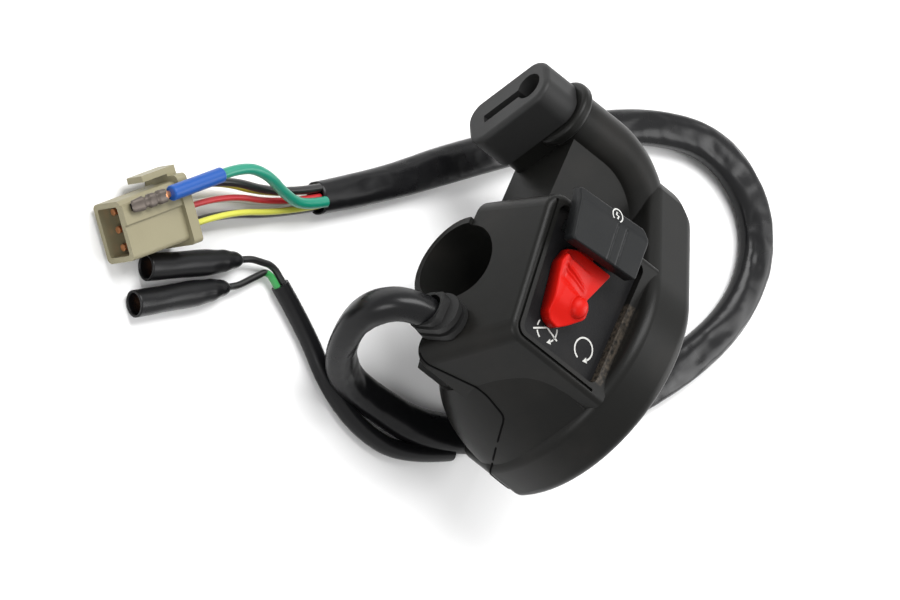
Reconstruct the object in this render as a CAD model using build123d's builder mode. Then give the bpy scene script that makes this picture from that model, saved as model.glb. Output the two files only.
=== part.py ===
from build123d import *
from math import cos, pi, radians, sin, tan
import os

# Handlebar switch cluster with throttle tube housing, in millimetres.
# +X runs along the handlebar from the inner end of the clamp to the grip end.
# +Z points out of the switch panel, and the cluster lies on a table with its panel up.
# The origin is on the bar's axis, in the plane of the box's inner end.

os.makedirs("parts", exist_ok=True)

# Handlebar, clamp and drum
bar_radius = 11.1
cradle_start = -1.0
cradle_wall = 1.8
box_length = 39.5
drum_length = 15.5
drum_radius = 37.0
drum_centre_y = 2.0
drum_centre_z = -8.0
drum_foot = 25.5
drum_wall = 2.5
drum_edge = 4.0
drum_lip = 3.2
rim_top = 60
rim_back = 120
rim_side = 185
heel_share = 0.8
toe_share = 0.5
tip_y = 43.0
tip_radius = 9.0
tip_top = 55
tip_low = -70
tip_cut = [(55.0, 40.5), (53.2, 44.5), (46.0, 53.0)]
tip_reach = 12.0
chamber_radius = 22.5
tube_bore_radius = 14.6
cut_overrun = 2.0
contact_gap = 0.05

# Switch box
box_top = 24.0
box_foot_y = -28.5
box_top_low_y = -18.5
box_high_y = 22.0
box_lean_low = 7.8
box_lean_high = 2.2
box_edge = 1.6
box_corner = 5.0
box_join = 2.0
back_sections = [
    (0.0, 2.0, -28.0, 16.0),
    (-8.5, 8.0, -25.5, 14.0),
    (-15.0, 14.0, -15.0, 11.0),
]

# Lobe beside the drum: sections along the bar, each a line of places (y, z) down its outside
lobe_inner_y = -13.2
lobe_sections = [
    (16.0, [(-19.4, 20.0), (-25.6, 6.0), (-27.6, -4.0), (-24.0, -9.5)]),
    (30.0, [(-20.0, 20.0), (-29.6, 4.0), (-31.8, -9.0), (-25.0, -19.5)]),
    (43.5, [(-20.8, 20.0), (-31.6, 5.0), (-34.2, -9.0), (-26.0, -21.0)]),
]

# Parting line between the shells on the foot side
parting_places = [(0.0, 0.0), (21.0, 5.6), (28.5, 5.6), (42.0, -11.0), (48.0, -16.0)]
parting_round = 2.5

# Cable elbow, web, cap and collar
elbow_y = 51.3
elbow_z = 1.6
elbow_radius = 7.5
elbow_bend = 22.0
elbow_bore = 4.0
neck_start = 5.4
web_start = 14.0
web_high = 6.0
web_low = -13.0
web_edge = 3.0
cap_left = -2.0
cap_right = 9.0
cap_y = 47.5
cap_z = -4.6
cap_long = 27.0
cap_wide = 14.4
cap_corner = 5.2
cap_tilt = 55.6
cap_wall = 2.2
cap_edge = 1.4
keyhole_radius = 3.7
keyhole_slit = 2.6
keyhole_reach = 15.2
collar_radius = 9.0
collar_width = 3.4
collar_gap = 0.3
collar_edge = 1.2

# Panel and its seat
panel_top = 22.0
panel_thick = 2.0
panel_low_y = -15.6
panel_high_y = 19.6
panel_left_low = 10.8
panel_left_high = 6.4
panel_right = 37.2
panel_corner = 2.2
panel_clear = 0.2
seat_ledge = 1.6
cavity_floor = 13.0
groove_width = 0.8
groove_depth = 0.7
groove_inset = 1.5

# Contact carrier and its screws
carrier_thick = 1.6
carrier_clear = 0.4
carrier_screw_radius = 1.0
carrier_screw_head = 1.9
carrier_screw_places = [(24.0, -9.0), (31.5, -9.0)]
carrier_screw_grip = 1.6
carrier_head_high = 1.1

# Start button, its stems, contacts and spring
button_left = 6.0
button_right = 31.2
button_low_y = 9.8
button_high_y = 23.2
button_lean = 3.4
button_slope = 1.6
button_top = 30.8
button_plate = 3.4
button_skirt = 2.6
button_skirt_low = 26.9
button_edge = 1.2
button_travel = 2.2
grip_share = 0.57
band_share = 0.8
grip_step = 3.0
stem_width = 2.4
stem_depth = 2.8
stem_left_x = 12.0
stem_right_x = 29.8
stem_y = 15.8
stem_clear = 0.15
stem_foot = 18.8
pin_drop = 1.8
bridge_long = 5.6
bridge_thick = 0.5
pad_long = 1.8
pad_thick = 0.5
bridge_post = 0.9
spring_wire = 0.4
spring_radius = 1.7
spring_turns = 4

# Kill lever, its rotor, screw, contacts and detent
lever_x = 20.5
lever_y = 12.0
lever_reach = 24.0
lever_plate_shares = [
    (-0.358, -0.271),
    (-0.246, -0.829),
    (-0.175, -0.892),
    (-0.046, -0.917),
    (0.012, -0.892),
    (0.242, -0.588),
    (0.238, -0.492),
    (0.196, -0.421),
    (0.342, -0.017),
    (-0.162, -0.042),
    (-0.304, -0.088),
]
lever_body_shares = [
    (-0.329, -0.292),
    (-0.221, -0.808),
    (-0.154, -0.862),
    (-0.050, -0.879),
    (0.121, -0.608),
    (0.096, -0.250),
    (0.004, -0.142),
    (-0.296, -0.158),
]
lever_nose_shares = (0.02, -0.6)
lever_gap = 0.3
lever_plate = 2.2
lever_hub_radius = 4.2
lever_body_top = 27.2
lever_taper = 12
lever_nose_top = 29.4
lever_nose_radius = 3.0
lever_edge = 0.5
shaft_radius = 3.0
shaft_clear = 0.05
rotor_gap = 0.3
rotor_radius = 6.0
rotor_thick = 2.4
kill_bridge_inner = 3.0
kill_bridge_outer = 5.6
kill_bridge_thick = 0.5
kill_screw_radius = 1.1
kill_screw_head = 2.1
kill_head_high = 1.2
stud_radius = 0.9
stud_circle = 4.4
stud_turns = [200, 270, 340]
ball_radius = 1.2
ball_clear = 0.1
detent_long = 7.4
boss_wall = 1.3
detent_wide = 4.6
detent_wire = 0.35
detent_turns = 5

# Housing screws: places across the bar, and how far up each reaches
screw_places = [(31.5, -21.6), (20.0, 16.9), (28.0, 36.0)]
screw_tips = [11.5, 11.5, 4.6]
screw_radius = 2.0
screw_head_radius = 3.6
screw_head_high = 2.6
screw_clear = 0.25
screw_seat = -10.0
drive_width = 3.4
drive_slot = 0.9
drive_depth = 1.2

# Cable channel beside the bar, and the grommet at its mouth
channel_start = 4.6
channel_end = 24.0
channel_out_y = -23.1
channel_in_y = -12.2
channel_low = -0.9
channel_high = 10.1
passage_start = 13.0
passage_out_y = -18.8
grommet_y = -17.65
grommet_z = 4.6
grommet_wide = 11.0
grommet_high = 14.0
grommet_lean = 16
grommet_face = 1.0
grommet_neck = 9.8
grommet_lip = 10.7
grommet_clear = 0.15
grommet_rib = 1.7
grommet_waist = 1.5
grommet_round = 2.4
grommet_corner = 5.0
lead_diameter = 1.5
lead_fall_y = -16.9
lead_step = 2.2

# Harness, on the table below
sleeve_diameter = 8.6
branch_diameter = 4.8
rest_gap = 0.4
arc_share = 0.45
table_z = -(drum_foot + rest_gap + sleeve_diameter)
green_diameter = 2.8
black_diameter = 2.2
thin_diameter = 1.6

# Connector, lying on its flange
connector_x = -70.7
connector_y = -30.2
connector_turn = 48.7
connector_length = 22.0
connector_width = 15.4
connector_height = 10.4
connector_wall = 1.4
connector_step = 0.8
step_share = 0.68
flange_long = 3.0
flange_out = 1.3
hood_depth = 10.0
latch_long = 8.0
latch_thick = 1.6
latch_out = 3.6
latch_high = 6.0
pin_radius = 0.9
pin_out = 6.5
pin_pitch = 4.6
pin_row = 2.4

# Crimped ring end and its insulator, lying on the connector
insulator_radius = 2.0
insulator_start = 20.5
insulator_long = 17.4
insulator_side = -5.4
crimp_long = 12.0
crimp_wide = 3.6
crimp_thick = 1.8

# Bullet terminals: mouth of each sleeve on the table, and its direction
bullet_places = {"a": (-63.2, -38.8, 36.3), "b": (-62.0, -48.9, 40.5)}
bullet_sleeve_radius = 3.3
bullet_sleeve_long = 30.5
bullet_taper = 10.0
bullet_bore = 2.35
bullet_neck_radius = 1.5
bullet_radius = 1.9
bullet_long = 16.0
bullet_lead = 1.8
bullet_lead_out = 5.0
bullet_lead_sides = {"a": -1.1, "b": 1.1}

# Free wires: diameter, sideways and up at the sleeve's end, column and row at the connector
wire_lead = 13.0
wire_share = 0.6
wire_places = {
    "wire_black_upper": (black_diameter, -2.5, 1.2, -1, 1),
    "wire_red": (thin_diameter, -0.3, 0.8, 0, 1),
    "wire_green_yellow": (thin_diameter, 1.9, 0.1, 1, 1),
    "wire_yellow": (thin_diameter, -2.3, -1.4, -1, -1),
    "wire_white": (thin_diameter, -0.2, -1.6, 0, -1),
    "wire_black_lower": (black_diameter, 2.1, -2.3, 1, -1),
}
green_side = 1.2
green_up = 2.8

# Sizes that follow
elbow_x = box_length + drum_length / 2
chamber_start = box_length + drum_wall
drum_right = box_length + drum_length
grommet_hole = grommet_neck + 2 * grommet_clear


def save(solid, label):
    """Names one finished piece and writes its file."""
    solid.label = label
    export_step(solid, "parts/" + label + ".step")


def cord_tube(route, diameter, name):
    """A tube along a hand chosen route: straight runs joined by tangent arcs."""
    points = [Vector(*point) for point in route]
    steps = [after - before for before, after in zip(points, points[1:])]
    radii = []
    for before, after in zip(steps, steps[1:]):
        half_turn = radians(before.get_angle(after)) / 2
        radii.append(arc_share * min(before.length, after.length) / tan(half_turn))
    print(name, "arc radii", [round(radius, 1) for radius in radii])
    with BuildPart() as tube:
        with BuildLine() as path:
            FilletPolyline(*points, radius=radii)
        with BuildSketch(Plane(origin=path.line @ 0, z_dir=path.line % 0)):
            Circle(diameter / 2)
        sweep()
    length = path.wire().length
    full = pi * diameter**2 / 4 * length
    print(name, "length", round(length, 1), "volume share", round(tube.part.volume / full, 4))
    return tube.part


# Outside of the two shells together
def switch_box():
    """Front box that carries the panel: its inner end leans back towards the panel."""
    box_right = box_length + box_join
    with BuildPart() as box:
        with BuildSketch(Plane.XY):
            with BuildLine():
                Polyline(
                    (0, box_foot_y),
                    (box_right, box_foot_y),
                    (box_right, box_high_y),
                    (0, box_high_y - box_lean_high),
                    close=True,
                )
            make_face()
        with BuildSketch(Plane.XY.offset(box_top)):
            with BuildLine():
                Polyline(
                    (box_lean_low, box_top_low_y),
                    (box_right, box_top_low_y),
                    (box_right, box_high_y),
                    (box_lean_high, box_high_y),
                    close=True,
                )
            make_face()
        loft(ruled=True)
        upright = box.edges().filter_by(lambda edge: edge.bounding_box().size.Z > box_top / 2)
        fillet(upright.sort_by(Axis.X)[:2], box_corner)
        left = box.edges().filter_by(lambda edge: edge.center().X < box_length)
        fillet(left.filter_by(lambda edge: edge.center().Z > box_top - box_edge), box_edge)
    return box.part


def back_box():
    """Rear half of the box, which narrows towards the back, and the cradle round the bar."""
    box_right = box_length + box_join
    half = bar_radius + cradle_wall
    with BuildPart() as back:
        for depth, start, low_y, high_y in back_sections:
            with BuildSketch(Plane.XY.offset(depth)):
                with BuildLine():
                    Polyline(
                        (start, low_y),
                        (box_right, low_y),
                        (box_right, box_high_y),
                        (start, high_y),
                        close=True,
                    )
                make_face()
        loft(ruled=True)
        with BuildSketch(Plane.YZ.offset(cradle_start)):
            Circle(half)
            with Locations((0, half)):
                Rectangle(2 * half, 2 * half, mode=Mode.SUBTRACT)
        extrude(amount=box_length - cradle_start)
    return back.part


def side_lobe():
    """Bulge on the foot side: it grows from the box's face towards the drum."""
    with BuildPart() as lobe:
        for along, places in lobe_sections:
            with BuildSketch(Plane.YZ.offset(along)):
                with BuildLine():
                    Spline(*places)
                    Polyline(
                        places[-1],
                        (lobe_inner_y, places[-1][1]),
                        (lobe_inner_y, places[0][1]),
                        places[0],
                    )
                make_face()
        loft()
    return lobe.part


def rim_point(angle):
    """A point (y, z) on the drum's round back, at an angle from +Y towards +Z."""
    turn = radians(angle)
    return (drum_centre_y + drum_radius * cos(turn), drum_centre_z + drum_radius * sin(turn))


def tip_point(angle):
    """A point (y, z) on the drum's small round tip, where the cable elbow joins it."""
    turn = radians(angle)
    return (tip_y + tip_radius * cos(turn), elbow_z + tip_radius * sin(turn))


def drum():
    """Crescent housing: a wide round back with a tangent run up to the cable elbow."""
    heel_y = drum_centre_y - drum_radius * heel_share
    toe_y = drum_centre_y + drum_radius * toe_share
    with BuildPart() as housing:
        with BuildSketch(Plane.YZ.offset(box_length)):
            with BuildLine():
                ThreePointArc(rim_point(rim_top), rim_point(rim_back), rim_point(rim_side))
                Polyline(
                    rim_point(rim_side),
                    (heel_y, -drum_foot),
                    (toe_y, -drum_foot),
                    tip_point(tip_low),
                )
                ThreePointArc(tip_point(tip_low), tip_point(0), tip_point(tip_top))
                Line(tip_point(tip_top), rim_point(rim_top))
            make_face()
        extrude(amount=drum_length)
        lengthwise = housing.edges().filter_by(Axis.X).filter_by(
            lambda edge: edge.center().Z < elbow_z - tip_radius
        )
        fillet(lengthwise, drum_edge)
        ends = housing.edges().filter_by(lambda edge: edge.bounding_box().size.X < contact_gap)
        fillet(ends, drum_lip)
        with BuildSketch(Plane.XY.offset(-drum_foot - cut_overrun)):
            with BuildLine():
                Polyline(
                    (tip_cut[0][0] + cut_overrun, tip_cut[0][1]),
                    *tip_cut,
                    (tip_cut[-1][0], tip_cut[-1][1] + tip_reach),
                    (tip_cut[0][0] + cut_overrun, tip_cut[-1][1] + tip_reach),
                    close=True,
                )
            make_face()
        extrude(amount=2 * drum_foot + box_top, mode=Mode.SUBTRACT)
    return housing.part


def elbow_path(start):
    """Centre line of the cable elbow, from a place along the bar into the drum's chamber."""
    with BuildLine() as path:
        FilletPolyline(
            (start, elbow_y, elbow_z),
            (elbow_x, elbow_y, elbow_z),
            (elbow_x, chamber_radius - drum_wall, elbow_z),
            radius=elbow_bend,
        )
    return path.line


def cap_plane(along):
    """Plane across the cap: its first axis runs along the cap's long side."""
    turn = radians(cap_tilt)
    return Plane(origin=(along, cap_y, cap_z), x_dir=(0, cos(turn), sin(turn)), z_dir=(1, 0, 0))


def cable_side():
    """Elbow, its web to the box, and the neck that carries the cap."""
    with BuildPart() as side:
        with BuildSketch(Plane.XY.offset(web_low)):
            with BuildLine():
                Polyline(
                    (web_start, bar_radius),
                    (elbow_x - drum_edge, bar_radius),
                    (elbow_x - drum_edge, elbow_y - elbow_radius),
                    (box_length - elbow_bend / 2, elbow_y),
                    (web_start, elbow_y),
                    close=True,
                )
            make_face()
        extrude(amount=web_high - web_low)
        fillet(side.edges().filter_by(Axis.Z).sort_by(Axis.X)[:2], web_edge)
        outer_line = elbow_path(cap_right + collar_gap)
        with BuildSketch(Plane(origin=outer_line @ 0, z_dir=outer_line % 0)):
            Circle(elbow_radius)
        sweep(path=outer_line)
        with BuildSketch(cap_plane(neck_start)):
            RectangleRounded(
                cap_long - 2 * (cap_wall + collar_gap),
                cap_wide - 2 * (cap_wall + collar_gap),
                cap_corner - cap_wall,
            )
        extrude(amount=web_start + web_edge - neck_start)
        with BuildSketch(cap_plane(cap_right + collar_gap)):
            RectangleRounded(cap_long - cap_wall, cap_wide - cap_wall, cap_corner - cap_wall / 2)
        extrude(amount=web_start + web_edge - cap_right - collar_gap)
        with BuildSketch(Plane.YZ.offset(cap_right + collar_gap)):
            with Locations((elbow_y, elbow_z)):
                Circle(collar_radius)
        extrude(amount=collar_width)
        rims = side.edges().filter_by(GeomType.CIRCLE)
        fillet(rims.filter_by(lambda edge: abs(edge.radius - collar_radius) < contact_gap), collar_edge)
    return side.part


def parting_side(high):
    """Space that belongs to the front shell, or to the rear shell below it.

    The shells meet in the bar's plane, and along a stepped line on the foot side.
    """
    reach = drum_right + box_top
    far = reach if high else -reach
    with BuildPart() as space:
        with BuildSketch(Plane.XZ.offset(-reach)):
            with BuildLine():
                Polyline((-reach, 0), (reach, 0), (reach, far), (-reach, far), close=True)
            make_face()
        extrude(amount=reach - lobe_inner_y)
        with BuildSketch(Plane.XZ.offset(-lobe_inner_y)):
            with BuildLine():
                FilletPolyline(
                    (-reach, 0),
                    *parting_places,
                    (reach, parting_places[-1][1]),
                    radius=parting_round,
                )
                Polyline(
                    (reach, parting_places[-1][1]), (reach, far), (-reach, far), (-reach, 0)
                )
            make_face()
        extrude(amount=reach + lobe_inner_y)
    return space.part


def panel_outline():
    """Outline of the panel's recess, in the plane of the panel."""
    with BuildSketch() as outline:
        with BuildLine():
            Polyline(
                (panel_left_low, panel_low_y),
                (panel_right, panel_low_y),
                (panel_right, panel_high_y),
                (panel_left_high, panel_high_y),
                close=True,
            )
        make_face()
        fillet(outline.vertices(), panel_corner)
    return outline.sketch


def inset_outline(inset):
    """The panel's outline drawn in all round."""
    with BuildSketch() as smaller:
        add(panel)
        offset(amount=-inset)
    return smaller.sketch


def hollows():
    """All the room inside the two shells: bores, chamber, switch room and cable ways."""
    with BuildPart() as room:
        with BuildSketch(Plane.YZ.offset(cradle_start - cut_overrun)):
            Circle(bar_radius)
        extrude(amount=chamber_start + cut_overrun - cradle_start)
        with BuildSketch(Plane.YZ.offset(chamber_start)):
            Circle(chamber_radius)
        extrude(amount=drum_right - drum_wall - chamber_start)
        with BuildSketch(Plane.YZ.offset(drum_right - drum_wall)):
            Circle(tube_bore_radius)
        extrude(amount=drum_wall + cut_overrun)
        with BuildSketch(Plane(origin=elbow_line @ 0, z_dir=elbow_line % 0)):
            Circle(elbow_bore)
        sweep(path=elbow_line)
        extrude(inset_outline(seat_ledge).moved(Location((0, 0, cavity_floor))), amount=box_top)
        extrude(panel.moved(Location((0, 0, panel_top - panel_thick))), amount=box_top)
        with BuildSketch(Plane.XY.offset(channel_low)):
            with BuildLine():
                Polyline(
                    (channel_start, channel_out_y),
                    (channel_end, channel_out_y),
                    (channel_end, channel_in_y),
                    (channel_start, channel_in_y),
                    close=True,
                )
            make_face()
        extrude(amount=channel_high - channel_low)
        with BuildSketch(Plane.XY.offset(channel_high)):
            with BuildLine():
                Polyline(
                    (passage_start, passage_out_y),
                    (channel_end, passage_out_y),
                    (channel_end, panel_low_y + 2 * seat_ledge),
                    (passage_start, panel_low_y + 2 * seat_ledge),
                    close=True,
                )
            make_face()
        extrude(amount=panel_top - panel_thick - seat_ledge - channel_high)
        with BuildSketch(Plane.YZ.offset(cradle_start)):
            with Locations((grommet_y, grommet_z)):
                RectangleRounded(grommet_hole, grommet_hole, grommet_round)
        extrude(amount=channel_start - cradle_start + cut_overrun)
        with BuildSketch(Plane.XY.offset(cavity_floor)):
            with Locations(*carrier_screw_places):
                Circle(carrier_screw_radius)
        extrude(amount=-carrier_screw_grip - contact_gap)
        for (x, y), tip in zip(screw_places, screw_tips):
            with BuildSketch(Plane.XY.offset(-drum_foot - cut_overrun)):
                with Locations((x, y)):
                    Circle(screw_head_radius + screw_clear)
            extrude(amount=drum_foot + cut_overrun + screw_seat)
            with BuildSketch(Plane.XY.offset(screw_seat)):
                with Locations((x, y)):
                    Circle(screw_radius + screw_clear)
            extrude(amount=-screw_seat)
            with BuildSketch(Plane.XY):
                with Locations((x, y)):
                    Circle(screw_radius)
            extrude(amount=tip + screw_clear)
    return room.part


panel = panel_outline()
elbow_line = elbow_path(neck_start - cut_overrun)
room = hollows()


def shell(high):
    """One of the two shells: its share of the outside, less the room inside."""
    with BuildPart() as half:
        add(switch_box())
        add(back_box())
        add(side_lobe())
        add(drum())
        add(cable_side())
        add(room, mode=Mode.SUBTRACT)
        add(parting_side(high), mode=Mode.INTERSECT)
        if high:
            with BuildSketch(Plane.XY.offset(box_top)):
                with BuildLine():
                    FilletPolyline(
                        (panel_left_high - groove_inset, panel_high_y),
                        (panel_left_low - groove_inset, panel_low_y - groove_inset),
                        (panel_right, panel_low_y - groove_inset),
                        radius=box_corner - box_edge,
                    )
                trace(line_width=groove_width)
            extrude(amount=-groove_depth, mode=Mode.SUBTRACT)
    return half.part


save(shell(True), "front_shell")
save(shell(False), "rear_shell")


# Cap pushed over the end of the cable elbow, with the keyhole for the cable
with BuildPart() as cable_cap:
    with BuildSketch(cap_plane(cap_left)):
        RectangleRounded(cap_long, cap_wide, cap_corner)
    extrude(amount=cap_right - cap_left)
    fillet(cable_cap.faces().sort_by(Axis.X)[0].edges(), cap_edge)
    with BuildSketch(cap_plane(neck_start - collar_gap)):
        RectangleRounded(cap_long - 2 * cap_wall, cap_wide - 2 * cap_wall, cap_corner - cap_wall)
    extrude(amount=cap_right, mode=Mode.SUBTRACT)
    slit_turn = radians(cap_tilt)
    slit_end_y = elbow_y - keyhole_reach * cos(slit_turn)
    slit_end_z = elbow_z - keyhole_reach * sin(slit_turn)
    with BuildSketch(Plane.YZ.offset(cap_left - cut_overrun)):
        with BuildLine():
            Line((elbow_y, elbow_z), (slit_end_y, slit_end_z))
        trace(line_width=keyhole_slit)
        with Locations((elbow_y, elbow_z)):
            Circle(keyhole_radius)
    extrude(amount=cap_right, mode=Mode.SUBTRACT)
save(cable_cap.part, "cable_cap")

# Panel plate, seated in the front shell
with BuildPart() as switch_panel:
    extrude(
        inset_outline(panel_clear).moved(Location((0, 0, panel_top - panel_thick))),
        amount=panel_thick,
    )
    with BuildSketch(Plane.XY.offset(panel_top)):
        with Locations((lever_x, lever_y)):
            Circle(shaft_radius + shaft_clear)
        with Locations((stem_left_x, stem_y), (stem_right_x, stem_y)):
            Rectangle(stem_width + 2 * stem_clear, stem_depth + 2 * stem_clear)
    extrude(amount=-panel_thick, mode=Mode.SUBTRACT)
save(switch_panel.part, "switch_panel")

# Start button: a plate with a skirt at each end and two guide stems
button_width = button_right - button_left
button_depth = button_high_y - button_low_y
button_y = (button_low_y + button_high_y) / 2
plate_low = button_top - button_plate
with BuildPart() as start_button:
    with BuildSketch(Plane.XY.offset(plate_low)):
        with BuildLine():
            Polyline(
                (button_left + button_lean, button_low_y),
                (button_right, button_low_y + button_slope),
                (button_right, button_high_y),
                (button_left, button_high_y),
                close=True,
            )
        make_face()
    extrude(amount=button_plate)
    fillet(start_button.edges().filter_by(Axis.Z), button_edge)
    fillet(start_button.faces().sort_by(Axis.Z)[-1].edges(), button_edge / 2)
    with BuildSketch(Plane.XY.offset(button_skirt_low)):
        with Locations(
            (button_left + button_lean + button_skirt / 2, button_y),
            (button_right - button_skirt / 2, button_y),
        ):
            Rectangle(button_skirt, button_depth - 2 * (button_edge + button_slope))
    extrude(amount=plate_low - button_skirt_low)
    with BuildSketch(Plane.XY.offset(stem_foot)):
        with Locations((stem_left_x, stem_y), (stem_right_x, stem_y)):
            Rectangle(stem_width, stem_depth)
    extrude(amount=plate_low - stem_foot)
    with BuildSketch(Plane.XY.offset(stem_foot - pin_drop)):
        with Locations((stem_right_x, stem_y)):
            Circle(spring_radius - spring_wire - stem_clear)
    extrude(amount=pin_drop)
    band_x = button_left + button_width * grip_share
    band_long = button_depth * band_share
    with BuildSketch(Plane.XY.offset(button_top)):
        with Locations(
            (band_x, button_low_y + band_long / 2),
            (band_x + grip_step, button_low_y + band_long / 2),
        ):
            Rectangle(groove_width / 2, band_long)
    extrude(amount=-groove_width / 4, mode=Mode.SUBTRACT)
save(start_button.part, "start_button")

# Contact carrier on the floor of the switch room, with the detent's boss
carrier_top = cavity_floor + carrier_thick
rotor_top = panel_top - panel_thick - rotor_gap
rotor_low = rotor_top - rotor_thick
ball_z = (rotor_top + rotor_low) / 2
ball_y = lever_y - rotor_radius - ball_clear - ball_radius
detent_y = ball_y + ball_radius / 3
with BuildPart() as contact_carrier:
    extrude(
        inset_outline(seat_ledge + carrier_clear).moved(Location((0, 0, cavity_floor))),
        amount=carrier_thick,
    )
    with BuildSketch(Plane.XY.offset(carrier_top)):
        with Locations((lever_x, detent_y - detent_long / 2)):
            Rectangle(detent_wide, detent_long)
    extrude(amount=rotor_top - contact_gap - carrier_top)
    with BuildSketch(Plane.XZ.offset(-detent_y)):
        with Locations((lever_x, ball_z)):
            Circle(ball_radius + ball_clear)
    extrude(amount=detent_long - boss_wall, mode=Mode.SUBTRACT)
    with BuildSketch(Plane.XY.offset(cavity_floor)):
        with Locations(*carrier_screw_places):
            Circle(carrier_screw_radius + stem_clear)
    extrude(amount=carrier_thick, mode=Mode.SUBTRACT)
save(contact_carrier.part, "contact_carrier")

# Start contacts: a bridge under the left stem and the two pads that it closes
with BuildPart() as start_bridge:
    with BuildSketch(Plane.XY.offset(stem_foot - bridge_thick)):
        with Locations((stem_left_x, stem_y)):
            Rectangle(bridge_long, stem_depth)
    extrude(amount=bridge_thick)
    with BuildSketch(Plane.XY.offset(carrier_top + pad_thick + button_travel + contact_gap)):
        for side in (-1, 1):
            with Locations((stem_left_x + side * (bridge_long - pad_long) / 2, stem_y)):
                Circle(bridge_post)
    extrude(amount=stem_foot - bridge_thick - carrier_top - pad_thick - button_travel - contact_gap)
save(start_bridge.part, "start_contact_bridge")
with BuildPart() as start_pads:
    with BuildSketch(Plane.XY.offset(carrier_top)):
        for side in (-1, 1):
            with Locations((stem_left_x + side * (bridge_long - pad_long) / 2, stem_y)):
                Rectangle(pad_long, stem_depth)
    extrude(amount=pad_thick)
save(start_pads.part, "start_contact_pads")


def coil_spring(foot, axis, length, radius, wire, turns, label):
    """An open coil spring standing on a foot point along an axis."""
    start = Vector(*foot) + Vector(*axis) * (wire / 2)
    with BuildPart() as spring:
        with BuildLine() as coil:
            Helix(
                pitch=(length - wire) / turns,
                height=length - wire,
                radius=radius - wire / 2,
                center=start,
                direction=axis,
            )
        with BuildSketch(Plane(origin=coil.line @ 0, z_dir=coil.line % 0)):
            Circle(wire / 2)
        sweep()
    print(label, "least gap between turns", round((length - wire) / turns - wire, 2))
    save(spring.part, label)


coil_spring(
    (stem_right_x, stem_y, carrier_top),
    (0, 0, 1),
    stem_foot - carrier_top,
    spring_radius,
    spring_wire,
    spring_turns,
    "start_spring",
)

# Kill lever: low plate that passes under the button, raised body, round nose and shaft
lever_low = panel_top + lever_gap
lever_plate_top = lever_low + lever_plate


def from_pivot(shares):
    """A place on the lever: shares of its reach, from its pivot."""
    return (lever_x + shares[0] * lever_reach, lever_y + shares[1] * lever_reach)


with BuildPart() as kill_lever:
    with BuildSketch(Plane.XY.offset(lever_low)):
        with BuildLine():
            Polyline(*[from_pivot(shares) for shares in lever_plate_shares], close=True)
        make_face()
        with Locations((lever_x, lever_y)):
            Circle(lever_hub_radius)
    extrude(amount=lever_plate)
    with BuildSketch(Plane.XY.offset(lever_plate_top)):
        with BuildLine():
            Polyline(*[from_pivot(shares) for shares in lever_body_shares], close=True)
        make_face()
    extrude(amount=lever_body_top - lever_plate_top, taper=lever_taper)
    fillet(kill_lever.edges().group_by(Axis.Z)[-1], lever_edge)
    with BuildSketch(Plane.XY.offset(lever_plate_top)):
        with Locations(from_pivot(lever_nose_shares)):
            Circle(lever_nose_radius)
    extrude(amount=lever_nose_top - lever_plate_top, taper=lever_taper)
    fillet(kill_lever.edges().group_by(Axis.Z)[-1], lever_nose_radius / 3)
    with BuildSketch(Plane.XY.offset(rotor_top)):
        with Locations((lever_x, lever_y)):
            Circle(shaft_radius)
    extrude(amount=lever_low - rotor_top)
    with BuildSketch(Plane.XY.offset(rotor_top)):
        with Locations((lever_x, lever_y)):
            Circle(kill_screw_radius)
    extrude(amount=lever_low - rotor_top + lever_plate / 2, mode=Mode.SUBTRACT)
save(kill_lever.part, "kill_lever")

# Rotor clamped under the lever's shaft, its contact bridge and its screw
with BuildPart() as kill_rotor:
    with BuildSketch(Plane.XY.offset(rotor_low)):
        with Locations((lever_x, lever_y)):
            Circle(rotor_radius)
            Circle(kill_screw_radius, mode=Mode.SUBTRACT)
    extrude(amount=rotor_thick)
save(kill_rotor.part, "kill_rotor")
with BuildPart() as kill_bridge:
    with BuildSketch(Plane.XY.offset(rotor_low - kill_bridge_thick)):
        with Locations((lever_x, lever_y)):
            Circle(kill_bridge_outer)
            Circle(kill_bridge_inner, mode=Mode.SUBTRACT)
    extrude(amount=kill_bridge_thick)
save(kill_bridge.part, "kill_contact_ring")
with BuildPart() as kill_screw:
    with BuildSketch(Plane.XY.offset(rotor_low - kill_head_high)):
        with Locations((lever_x, lever_y)):
            Circle(kill_screw_head)
    extrude(amount=kill_head_high)
    with BuildSketch(Plane.XY.offset(rotor_low)):
        with Locations((lever_x, lever_y)):
            Circle(kill_screw_radius)
    extrude(amount=lever_low + lever_plate / 2 - contact_gap - rotor_low)
save(kill_screw.part, "kill_lever_screw")

# Fixed studs under the contact ring
with BuildPart() as kill_studs:
    with BuildSketch(Plane.XY.offset(carrier_top)):
        for stud_turn in stud_turns:
            with Locations(
                (
                    lever_x + stud_circle * cos(radians(stud_turn)),
                    lever_y + stud_circle * sin(radians(stud_turn)),
                )
            ):
                Circle(stud_radius)
    extrude(amount=rotor_low - kill_bridge_thick - contact_gap - carrier_top)
save(kill_studs.part, "kill_contact_studs")

# Detent ball and spring, pressing on the rotor's rim from the carrier's boss
with BuildPart() as detent_ball:
    with Locations((lever_x, ball_y, ball_z)):
        Sphere(ball_radius)
save(detent_ball.part, "detent_ball")
detent_foot = detent_y - detent_long + boss_wall
coil_spring(
    (lever_x, detent_foot, ball_z),
    (0, 1, 0),
    ball_y - ball_radius - contact_gap - detent_foot,
    ball_radius,
    detent_wire,
    detent_turns,
    "detent_spring",
)

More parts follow.
